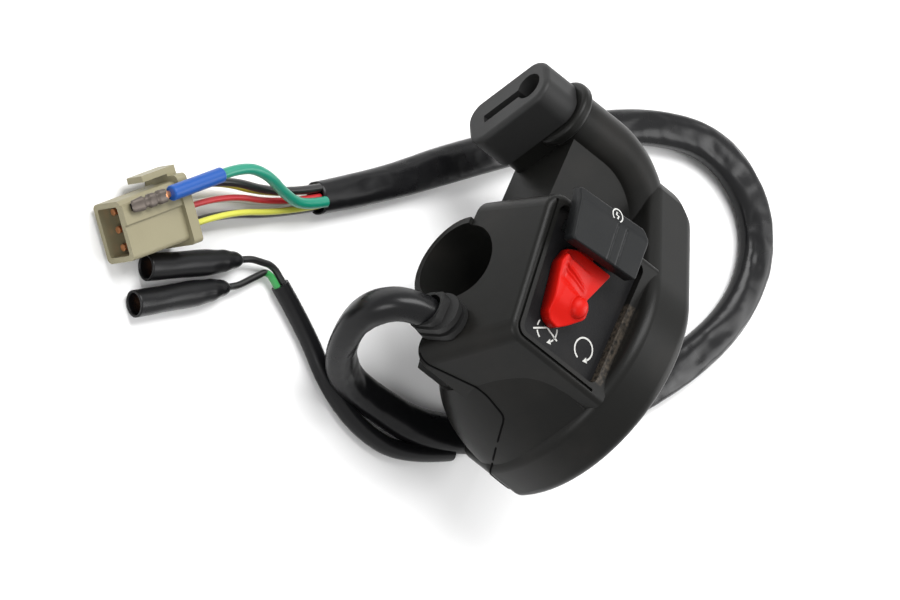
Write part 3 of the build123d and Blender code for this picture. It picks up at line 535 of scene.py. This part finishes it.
def sleeve_ring(index, angle):
    """Section of the crumpled sleeve: its two grooves take turns, between finer creases."""
    share = sleeve_share(index)
    along = index * RING_STEP
    wide, high, crease = shape_at(SLEEVE_SHAPE, share)
    cosine, sine = math.cos(angle), math.sin(angle)
    fold = 0.5 + 0.5 * ripple(along, LONG_WAVES)
    grooves = fold * groove(angle, along, TOP_GROOVE) + (1 - fold) * groove(angle, along, SIDE_GROOVE)
    wrinkle = ripple(along + 2.2 * math.sin(angle * 2 + 0.1 * along), CREASE_WAVES)
    upper = 0.4 + 0.6 * max(0.0, sine)
    dent = (1 - crease * grooves) * (1 + WRINKLE_DEPTH * crease * wrinkle * upper)
    x = wide * boxy(cosine, SLEEVE_SQUARE) * (1 + 0.5 * (dent - 1))
    y = high * boxy(sine, SLEEVE_SQUARE) * dent
    if share > FLAT_FROM:
        y = max(y, -high)
    return x, y


sleeve_path = [lowered(index, point) for index, point in enumerate(sleeve_line)]
sleeve = tube_piece("sleeve_skin", sleeve_path, sleeve_frames, sleeve_ring, SLEEVE_SIDES)
add_wall(sleeve, SLEEVE_WALL)
add_piece(sleeve, "sleeve", "housing")
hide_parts("harness_sleeve")


def round_cord(name, route, diameter, look, node):
    """A smooth round wire or thin sleeve as a curve, in place of its solid, riding on the housing."""
    data = spline_curve(name, route)
    data.bevel_depth = diameter / 2 * MM
    data.bevel_resolution = ROUND_STEPS
    data.use_fill_caps = True
    piece = bpy.data.objects.new(name, data)
    add_piece(piece, look, "housing")
    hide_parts(node)
    line_length(curve_line(name + "_line", route))


# Crimped terminal: rolled barrels and a flat tip, and bare strands before the insulator
CRIMP_PROFILE = [
    (0.0, 0.5, 0.3),
    (0.05, 0.85, 0.5),
    (0.3, 1.0, 0.75),
    (0.35, 0.7, 0.5),
    (0.42, 0.7, 0.5),
    (0.47, 1.0, 0.95),
    (0.6, 0.95, 0.85),
    (0.66, 0.7, 0.55),
    (0.72, 1.0, 1.0),
    (0.87, 0.95, 0.95),
    (1.0, 0.6, 0.6),
]
CRIMP_SQUARE = 0.7
FOLD_WIDE = 0.3
CRIMP_RINGS = 45
CRIMP_SIDES = 48


def node_points(node):
    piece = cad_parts[node]
    return [piece.matrix_world @ vertex.co for vertex in piece.data.vertices]


def middle_of(points):
    return sum(points, Vector()) / len(points)


crimp_points = node_points("crimp_terminal")
crimp_middle = middle_of(crimp_points)
crimp_way = (middle_of(node_points("insulator_sleeve")) - crimp_middle).normalized()
crimp_side = UP.cross(crimp_way).normalized()
crimp_rise = crimp_way.cross(crimp_side)
crimp_reaches = [(point - crimp_middle).dot(crimp_way) for point in crimp_points]
crimp_wide = max(abs((point - crimp_middle).dot(crimp_side)) for point in crimp_points) / MM
crimp_high = max(abs((point - crimp_middle).dot(crimp_rise)) for point in crimp_points) / MM


def crimp_piece(name, look, start, stop, size, fold):
    """A stretch of the terminal from one share of its length to another, with a fold along its top."""
    low, high = min(crimp_reaches), max(crimp_reaches)
    shares = [start + (stop - start) * step / (CRIMP_RINGS - 1) for step in range(CRIMP_RINGS)]
    line = [crimp_middle + crimp_way * (low + (high - low) * share) for share in shares]

    def ring(index, angle):
        wide, rise = shape_at(CRIMP_PROFILE, shares[index])
        rolled = 1 - fold * ridge(angle - math.pi / 2, FOLD_WIDE)
        x = wide * size * crimp_wide * boxy(math.cos(angle), CRIMP_SQUARE)
        return x, rise * size * crimp_high * rolled * boxy(math.sin(angle), CRIMP_SQUARE)

    piece = tube_piece(name, line, [(crimp_side, crimp_rise)] * len(line), ring, CRIMP_SIDES)
    add_piece(piece, look, "housing")
    return piece


barrels = crimp_piece("crimp_barrels", "crimp", start=0.0, stop=0.88, size=1.0, fold=0.3)
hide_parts("crimp_terminal")
crimp_piece("crimp_strands", "copper", start=0.86, stop=1.0, size=0.75, fold=0.0)


# Wires from the sleeve's end into the connector
def on_connector(forward, sideways, height):
    return CONNECTOR + ALONG * forward + ACROSS * sideways + UP * height


# Diameter, place in the sleeve sideways and up, column and row in the connector, and finish
WIRES = {
    "wire_black_upper": (2.2, -2.5, 1.2, -1, 1, "black"),
    "wire_red": (1.6, -0.3, 0.8, 0, 1, "red"),
    "wire_green_yellow": (1.6, 1.9, 0.1, 1, 1, "green_yellow"),
    "wire_yellow": (1.6, -2.3, -1.4, -1, -1, "yellow"),
    "wire_white": (1.6, -0.2, -1.6, 0, -1, "white"),
    "wire_black_lower": (2.2, 2.1, -2.3, 1, -1, "black"),
}
WIRE_LEAD = 13.0
CONNECTOR_BACK = 11.0
COLUMN_STEP = 4.6
ROW_STEP = 2.4
sleeve_end = Vector(SLEEVE_ROUTE[-1])
sleeve_way = (sleeve_end - Vector(SLEEVE_ROUTE[-2])).normalized()
sleeve_side = UP.cross(sleeve_way)
for name, (diameter, sideways, rise, column, row, look) in WIRES.items():
    start = sleeve_end + sleeve_side * sideways + UP * rise
    end = on_connector(CONNECTOR_BACK, column * COLUMN_STEP, CONNECTOR_MID + row * ROW_STEP)
    route = [start, start + sleeve_way * WIRE_LEAD, end + ALONG * WIRE_LEAD, end]
    round_cord(name + "_skin", route, diameter, look, name)

# Green wire: over the others to the crimped terminal on the connector
GREEN_LEAD = 7.8
GREEN_WIDE = 2.8
green_start = sleeve_end + sleeve_side * 1.2 + UP * 2.8
green_end = on_connector(20.5, -5.4, -19.45)
green_route = [
    green_start,
    green_start + sleeve_way * GREEN_LEAD,
    (-38.5, -1.9, -24.6),
    (-48.5, -2.8, -20),
    green_end + ALONG * GREEN_LEAD,
    green_end,
]
round_cord("wire_green_skin", green_route, GREEN_WIDE, "green", "wire_green")


# Bullet sleeves: soft open tubes that narrow to a blunt end
BULLET_LONG = 30.5
BULLET_WALL = 0.6
BULLET_STEPS = 60
BULLET_SIDES = 40
BULLET_PROFILE = [
    (0.0, 3.45, 3.05),
    (0.3, 3.4, 3.15),
    (0.62, 3.35, 3.15),
    (0.8, 2.95, 2.8),
    (0.93, 2.2, 2.1),
    (0.97, 1.95, 1.85),
    (1.0, 1.35, 1.35),
]


def bullet_ring(index, angle):
    """Section of a bullet sleeve, crumpled where it narrows."""
    share = index / BULLET_STEPS
    wide, high = shape_at(BULLET_PROFILE, share)
    crumple = smooth(share, 0.7, 0.95) * 0.06
    wave = 1 + crumple * math.sin(3 * angle + 9 * share) + 0.012 * math.sin(2 * angle + 14 * share)
    return wide * wave * math.cos(angle), high * wave * math.sin(angle)


for letter, mouth_x, mouth_y, turn in (("a", -63.2, -38.8, 36.3), ("b", -62.0, -48.9, 40.5)):
    mouth = Vector((mouth_x, mouth_y, BULLET_Z))
    way = Vector((math.cos(math.radians(turn)), math.sin(math.radians(turn)), 0))
    line = [(mouth + way * BULLET_LONG * step / BULLET_STEPS) * MM for step in range(BULLET_STEPS + 1)]
    sections = [(UP.cross(way), UP)] * len(line)
    bullet = tube_piece("bullet_skin_" + letter, line, sections, bullet_ring, BULLET_SIDES)
    add_wall(bullet, BULLET_WALL)
    add_piece(bullet, "sleeve", "housing")
    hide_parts("bullet_sleeve_" + letter)


# Branch: a thin sleeve from beside the harness to the two bullet leads
BRANCH_ROUTE = [
    (42.5, -26.2, BRANCH_Z),
    (30, -35.4, BRANCH_Z),
    (15, -37.2, BRANCH_Z),
    (1, -33.2, BRANCH_Z),
    (-11.5, -24.6, BRANCH_Z),
    (-24.3, -18.9, BRANCH_Z),
]
BRANCH_WIDE = 4.8
round_cord("branch_skin", BRANCH_ROUTE, BRANCH_WIDE, "sleeve", "branch_sleeve")


# Skins of the controls: rings round a middle, with a height for each place
CORNER_STEPS = 6
LONGEST_REACH = 0.45


def rounded_outline(corners, radius, side_points):
    """A closed outline through the corners, rounded, as points in millimetres."""
    corners = [Vector(corner) for corner in corners]
    points = []
    for index, corner in enumerate(corners):
        before = corners[index - 1]
        after = corners[(index + 1) % len(corners)]
        next_reach = min(radius, (after - corner).length * LONGEST_REACH)
        reach = min(next_reach, (before - corner).length * LONGEST_REACH)
        start = corner + (before - corner).normalized() * reach
        end = corner + (after - corner).normalized() * reach
        points.extend(round_corner(start, corner, end, CORNER_STEPS))
        run_end = after + (corner - after).normalized() * next_reach
        points.extend(end.lerp(run_end, step / side_points) for step in range(1, side_points))
    return points


def domed_piece(name, outline, middle, height, low, rings, edge):
    """A solid skin: its top is height(x, y), rounded down at the outline; its bottom is flat."""
    middle = Vector(middle)
    points = [Vector((*middle, height(*middle)))]
    for ring in range(rings):
        share = math.sin(math.pi / 2 * (ring + 1) / rings)
        for point in outline:
            spot = middle + (point - middle) * share
            inward = (point - middle).length * (1 - share)
            top = height(*spot)
            if inward < edge:
                top -= edge - math.sqrt(max(0.0, edge**2 - (edge - inward) ** 2))
            points.append(Vector((spot.x, spot.y, top)))
    points.extend(Vector((point.x, point.y, low)) for point in outline)
    points.append(Vector((*middle, low)))
    count = len(outline)
    low_ring = 1 + rings * count
    sides = [(corner, (corner + 1) % count) for corner in range(count)]
    faces = [(0, 1 + near, 1 + far) for near, far in sides]
    for base in range(1, low_ring, count):
        outer = base + count
        faces += [(base + near, outer + near, outer + far, base + far) for near, far in sides]
    faces += [(low_ring + near, len(points) - 1, low_ring + far) for near, far in sides]
    mesh = bpy.data.meshes.new(name)
    mesh.from_pydata([point * MM for point in points], [], faces)
    work = bmesh.new()
    work.from_mesh(mesh)
    bmesh.ops.recalc_face_normals(work, faces=work.faces)
    work.to_mesh(mesh)
    work.free()
    return smooth_shaded(name, mesh)


def box_piece(name, low, high, bevel):
    """A block with rounded edges between two corners, in millimetres."""
    mesh = bpy.data.meshes.new(name)
    work = bmesh.new()
    bmesh.ops.create_cube(work, size=1)
    for vertex in work.verts:
        for axis in range(3):
            vertex.co[axis] = (low[axis] + (vertex.co[axis] + 0.5) * (high[axis] - low[axis])) * MM
    bmesh.ops.bevel(work, geom=list(work.edges), offset=bevel * MM, segments=3, affect="EDGES", profile=0.5)
    work.to_mesh(mesh)
    work.free()
    return smooth_shaded(name, mesh)


# Start button: a flat top with two fine grooves, and a strip that slopes away beyond a crease
BUTTON_CORNERS = [(9.4, 9.8), (31.6, 11.4), (30.8, 22.4), (28.6, 24.8), (6.0, 23.4)]
BUTTON_MIDDLE = (19.0, 16.8)
BUTTON_TOP = 30.8
BUTTON_LOW = 26.9
BUTTON_CREASE = (9.1, 20.5, 0.091)
BUTTON_SLOPE = 0.38
CREASE_DEPTH = 0.1
CREASE_WIDE = 0.25
BUTTON_GROOVES = (21.3, 24.4)
GROOVE_LEAN = -0.11
GROOVE_DEPTH = 0.24
GROOVE_WIDE = 0.24


def button_height(x, y):
    crease_x, crease_y, crease_slope = BUTTON_CREASE
    crease = crease_y + (x - crease_x) * crease_slope
    top = BUTTON_TOP - BUTTON_SLOPE * max(0.0, y - crease)
    top -= CREASE_DEPTH * ridge(y - crease, CREASE_WIDE) * smooth(x, 8.0, 11.0)
    for groove in BUTTON_GROOVES:
        depth = GROOVE_DEPTH * ridge(x - groove - GROOVE_LEAN * (y - 11.0), GROOVE_WIDE)
        top -= depth * (1 - smooth(y, crease - 1.2, crease - 0.3))
    return top


outline = rounded_outline(BUTTON_CORNERS, radius=0.9, side_points=60)
button = domed_piece(
    "start_button_skin",
    outline,
    BUTTON_MIDDLE,
    button_height,
    BUTTON_LOW,
    rings=80,
    edge=0.6,
)
add_piece(button, "button", "start_button")
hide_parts("start_button")
for name, left in (("left", 9.6), ("right", 28.6)):
    low, high = (left, 12.6, BUTTON_LOW), (left + 2.6, 20.4, 27.6)
    skirt = box_piece("button_skirt_" + name, low, high, bevel=0.25)
    add_piece(skirt, "button", "start_button")
for name, middle in (("left", 12.0), ("right", 29.8)):
    low, high = (middle - 1.2, 14.4, 18.8), (middle + 1.2, 17.2, 27.4)
    stem = box_piece("button_stem_" + name, low, high, bevel=0.15)
    add_piece(stem, "button", "start_button")


# Start button's spring: an open coil from the bottom to the top of its solid
SPRING_AT = (29.8, 15.8)
SPRING_WIRE = 0.4
SPRING_RADIUS = 1.5
SPRING_TURNS = 4
TURN_STEPS = 28
SPRING_SIDES = 10
spring_low, spring_high = (corner[2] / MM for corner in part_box("start_spring"))
spring_line = []
for step in range(SPRING_TURNS * TURN_STEPS + 1):
    turn = 2 * math.pi * step / TURN_STEPS
    share = step / (SPRING_TURNS * TURN_STEPS)
    rise = spring_low + SPRING_WIRE / 2 + (spring_high - spring_low - SPRING_WIRE) * share
    round_way = Vector((math.cos(turn), math.sin(turn), 0))
    spring_line.append((Vector((*SPRING_AT, rise)) + round_way * SPRING_RADIUS) * MM)


def wire_ring(radius):
    """The section of a round wire, for tube_piece."""
    return lambda index, angle: (radius * math.cos(angle), radius * math.sin(angle))


spring_frames = carried_frames(spring_line, UP)
spring_ring = wire_ring(SPRING_WIRE / 2)
spring = tube_piece("start_spring_coil", spring_line, spring_frames, spring_ring, SPRING_SIDES)
add_piece(spring, "steel", "housing")
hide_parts("start_spring")
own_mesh(spring)


# Run and stop lever: raised on the left and at the tip, ribbed wing on the right, round nose
LEVER_CORNERS = [
    (11.9, 5.5),
    (14.6, -7.9),
    (16.4, -9.5),
    (19.2, -10.0),
    (21.7, -7.9),
    (24.7, -4.4),
    (24.5, -0.4),
    (25.0, 1.8),
    (28.6, 11.5),
    (16.6, 11.5),
    (13.2, 9.9),
]
LEVER_MIDDLE = (18.6, 0.6)
LEVER_LOW = 22.3
LEVER_BODY = 27.3
LEVER_WING = 25.4
UNDER_BUTTON = 24.4
# Ribs across the wing, by where they start and their slope, and the hollow between them
LEVER_RIBS = ((12.6, 6.4, -0.25), (13.2, 4.7, -0.16))
RIB_HIGH = 0.45
RIB_WIDE = 0.36
LEVER_HOLLOW = (12.9, 5.55, -0.2)
HOLLOW_DEPTH = 0.3
HOLLOW_WIDE = 0.5
LEVER_NOSE = (21.5, -2.7)
NOSE_REACH = (2.7, 3.0)
NOSE_LOW = 26.9
NOSE_HIGH = 2.2


def beside(x, y, line):
    """How far a place lies above a slanting line, measured along y."""
    start_x, start_y, slope = line
    return y - start_y - slope * (x - start_x)


def lever_height(x, y):
    """Top of the lever over a place in the panel's plane."""
    left = 1 - smooth(x, 12.2, 15.6)
    lower = 1 - smooth(y + 0.15 * (x - 20), -1.2, 2.0)
    body = 1 - (1 - left) * (1 - lower)
    wing = LEVER_WING - 1.0 * smooth(x, 17.0, 24.0)
    raised = LEVER_BODY - 0.8 * (1 - smooth(x, 11.5, 15.5)) - 2.0 * (1 - smooth(y, -10.0, -3.5))
    top = wing + (raised - wing) * body
    across_wing = smooth(x, 13.0, 15.0) * (1 - smooth(x, 22.0, 24.0))
    for rib in LEVER_RIBS:
        top += RIB_HIGH * across_wing * ridge(beside(x, y, rib), RIB_WIDE)
    top -= HOLLOW_DEPTH * across_wing * ridge(beside(x, y, LEVER_HOLLOW), HOLLOW_WIDE)
    # Under the start button the lever stays low, so that the button can be pressed
    top -= smooth(y, 7.6, 8.8) * max(0.0, top - UNDER_BUTTON)
    away = math.hypot((x - LEVER_NOSE[0]) / NOSE_REACH[0], (y - LEVER_NOSE[1]) / NOSE_REACH[1])
    if away < 1:
        dome = NOSE_LOW + NOSE_HIGH * math.sqrt(1 - away * away)
        top += smooth(dome - top, -0.5, 0.7) * max(0.0, dome - top)
    return top


outline = rounded_outline(LEVER_CORNERS, radius=0.8, side_points=24)
lever = domed_piece(
    "kill_lever_skin",
    outline,
    LEVER_MIDDLE,
    lever_height,
    LEVER_LOW,
    rings=90,
    edge=0.45,
)
add_piece(lever, "lever", "kill_lever")
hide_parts("kill_lever")
shaft = box_piece("kill_lever_shaft", (18.4, 9.9, 19.7), (22.6, 14.1, 23.6), bevel=0.6)
add_piece(shaft, "lever", "kill_lever")


# Marks: flat strokes and arrowheads just above a face
def marks(name, strokes, arrows, surface, body, lift=0.04):
    """One piece of bands along lines and of filled shapes, above a surface given as a height."""
    points = []
    faces = []
    for line, width in strokes:
        line = [Vector(point) for point in line]
        for index, point in enumerate(line):
            way = (line[min(len(line) - 1, index + 1)] - line[max(0, index - 1)]).normalized()
            side = Vector((-way.y, way.x)) * width / 2
            if index:
                at = len(points)
                faces.append((at - 2, at - 1, at + 1, at))
            points.extend([point + side, point - side])
    for shape in arrows:
        faces.append(tuple(range(len(points), len(points) + len(shape))))
        points.extend(shape)
    mesh = bpy.data.meshes.new(name)
    mesh.from_pydata([Vector((*point, surface(*point) + lift)) * MM for point in points], [], faces)
    work = bmesh.new()
    work.from_mesh(mesh)
    for face in work.faces:
        if face.normal.z < 0:
            face.normal_flip()
    work.to_mesh(mesh)
    work.free()
    add_piece(bpy.data.objects.new(name, mesh), "mark", body)


def ring_arc(centre, radius, first, last):
    """Points of a round arc from one angle to another, in degrees."""
    steps = 40
    angles = [math.radians(first + (last - first) * step / steps) for step in range(steps + 1)]
    return [(centre[0] + radius * math.cos(angle), centre[1] + radius * math.sin(angle)) for angle in angles]


def arrow_at(centre, radius, angle, size):
    """A small arrowhead on the arc, pointing clockwise along it."""
    turn = math.radians(angle)
    tip = Vector(centre) + Vector((math.cos(turn), math.sin(turn))) * radius
    way = Vector((math.sin(turn), -math.cos(turn))) * size
    side = Vector((way.y, -way.x)) * 0.8
    return [tip + way, tip - way * 0.5 + side, tip - way * 0.5 - side]


PANEL_TOP = 22.0


def panel_top(x, y):
    return PANEL_TOP


RUN_MARK = (31.2, -8.4)
RUN_RADIUS = 2.9
RUN_STROKE = 0.44
run_strokes = [(ring_arc(RUN_MARK, RUN_RADIUS, -46, 255), RUN_STROKE)]
marks("run_mark", run_strokes, [arrow_at(RUN_MARK, RUN_RADIUS, -52, 0.95)], panel_top, "housing")

STOP_MARK = (18.8, -10.4)
STOP_RADIUS = 3.2
STOP_STROKE = 0.4
STOP_ARCS = ((165, 192), (214, 248), (-18, 32), (-46, -24))
CROOK_LEFT = (14.8, -12.5)
CROOK_MIDDLE = (18.6, -10.0)
CROOK_RIGHT = (22.9, -11.3)
CROOK_STROKE = 0.42
stop_strokes = [(ring_arc(STOP_MARK, STOP_RADIUS, first, last), STOP_STROKE) for first, last in STOP_ARCS]
stop_strokes.append(([CROOK_LEFT, CROOK_MIDDLE], CROOK_STROKE))
stop_strokes.append(([CROOK_MIDDLE, CROOK_RIGHT], CROOK_STROKE))
marks("stop_mark", stop_strokes, [arrow_at(STOP_MARK, STOP_RADIUS, -50, 0.9)], panel_top, "housing")

START_MARK = (19.2, 22.9)
START_RADIUS = 1.7
START_STROKE = 0.36
BOLT = [(18.9, 23.7), (18.7, 22.9), (19.6, 22.8), (19.3, 21.9)]
BOLT_STROKE = 0.5
start_strokes = [(ring_arc(START_MARK, START_RADIUS, -50, 235), START_STROKE), (BOLT, BOLT_STROKE)]
marks("start_mark", start_strokes, [], button_height, "start_button", lift=0.07)


# Seam between the two shells, as a fine dark line seen on the foot side, by x and z
SEAM = [(1.0, 0.3), (21.0, 5.6), (28.5, 5.6), (42.0, -11.0), (48.0, -16.0), (53.5, -16.0)]
SEAM_BEND = 1.6
SEAM_BEND_STEPS = 8
SEAM_STEP = 0.4
SEAM_RADIUS = 0.27
SEAM_SIDES = 8
SEAM_SMOOTHINGS = 3
LOOK_FROM = -60


def on_foot(x, z):
    """Where a straight look along +Y from the foot side first meets a shell."""
    origin = Vector((x, LOOK_FROM, z)) * MM
    spots = []
    for node in ("front_shell", "rear_shell"):
        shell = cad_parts[node]
        inverse = shell.matrix_world.inverted()
        hit, spot, *_ = shell.ray_cast(inverse @ origin, inverse.to_3x3() @ Vector((0, 1, 0)))
        if hit:
            spots.append(shell.matrix_world @ spot)
    return min(spots, key=lambda spot: spot.y, default=None)


seam_corners = [Vector(corner) for corner in SEAM]
seam_bends = [seam_corners[0]]
for before, corner, after in zip(seam_corners, seam_corners[1:], seam_corners[2:]):
    start = corner + (before - corner).normalized() * SEAM_BEND
    end = corner + (after - corner).normalized() * SEAM_BEND
    seam_bends.extend(round_corner(start, corner, end, SEAM_BEND_STEPS))
seam_bends.append(seam_corners[-1])
seam_line = []
for before, after in zip(seam_bends, seam_bends[1:]):
    count = max(1, round((after - before).length / SEAM_STEP))
    spots = [on_foot(*before.lerp(after, step / count)) for step in range(count)]
    seam_line.extend(spot for spot in spots if spot is not None)
for _ in range(SEAM_SMOOTHINGS):
    threes = zip(seam_line, seam_line[1:], seam_line[2:])
    inner = [(before + at * 2 + after) / 4 for before, at, after in threes]
    seam_line = [seam_line[0], *inner, seam_line[-1]]
seam_frames = carried_frames(seam_line, Vector((0.3, -1, 0.1)))
seam = tube_piece("seam_line", seam_line, seam_frames, wire_ring(SEAM_RADIUS), SEAM_SIDES)
add_piece(seam, "seam", "housing")


# Floor: it keeps the shadow, and fades to plain white far out, where no lamp reaches
FLOOR_SIZE = 6
FLOOR_FADE = (0.35, 0.8)


def seen_rays(tree):
    """1 where the camera, a reflection or a clear material looks, and 0 for light."""
    light_path = tree.nodes.new("ShaderNodeLightPath").outputs
    seen = light_path["Is Camera Ray"]
    for ray in ("Is Glossy Ray", "Is Transmission Ray"):
        seen = add_node(tree, "Math", 0, {0: seen, 1: light_path[ray]}, operation="MAXIMUM")
    return seen


bpy.ops.mesh.primitive_plane_add(size=FLOOR_SIZE, location=(0, 0, TABLE * MM))
floor = bpy.context.object
floor.name = "floor"
floor_look = bpy.data.materials.new("floor")
floor_look.use_nodes = True
tree = floor_look.node_tree
pale = tree.nodes["Principled BSDF"]
pale.inputs["Base Color"].default_value = (0.9, 0.9, 0.9, 1)
pale.inputs["Roughness"].default_value = 0.9
where = add_node(tree, "TexCoord", "Object")
distance = add_node(tree, "VectorMath", "Value", {0: where}, operation="LENGTH")
fade = mapped(tree, distance, FLOOR_FADE, interpolation_type="SMOOTHSTEP")
white_share = add_node(tree, "Math", 0, {0: fade, 1: seen_rays(tree)}, operation="MULTIPLY")
white = add_node(tree, "Emission", "Emission", {"Color": (1, 1, 1, 1)})
both = add_node(tree, "MixShader", "Shader", {0: white_share, 1: pale.outputs["BSDF"], 2: white})
feed(tree, tree.nodes["Material Output"].inputs["Surface"], both)
floor.data.materials.append(floor_look)


# Light: three soft lamps aimed at the middle, by place, size and power
LAMPS = {
    "over": ((-0.35, 0.5, 0.9), (0.9, 0.6), 18),
    "side": ((0.8, 0.3, 0.5), (0.5, 0.8), 7),
    "near": ((-0.6, -0.7, 0.6), (0.5, 0.4), 5),
}
for name, (place, size, power) in LAMPS.items():
    data = bpy.data.lights.new(name, "AREA")
    data.shape = "RECTANGLE"
    data.size, data.size_y = size
    data.energy = power
    lamp = bpy.data.objects.new(name, data)
    lamp.location = place
    lamp.rotation_euler = (-Vector(place)).to_track_quat("-Z", "Y").to_euler()
    scene.collection.objects.link(lamp)

# World: white where the camera, a reflection or a clear material sees it, and softer as light
SKY_LIGHT = 0.4
world = bpy.data.worlds.new("world")
scene.world = world
world.use_nodes = True
tree = world.node_tree
sky = tree.nodes["Background"].inputs
sky["Color"].default_value = (1, 1, 1, 1)
feed(tree, sky["Strength"], mapped(tree, seen_rays(tree), (0.0, 1.0), (SKY_LIGHT, 1.0)))
scene.view_settings.view_transform = "Standard"
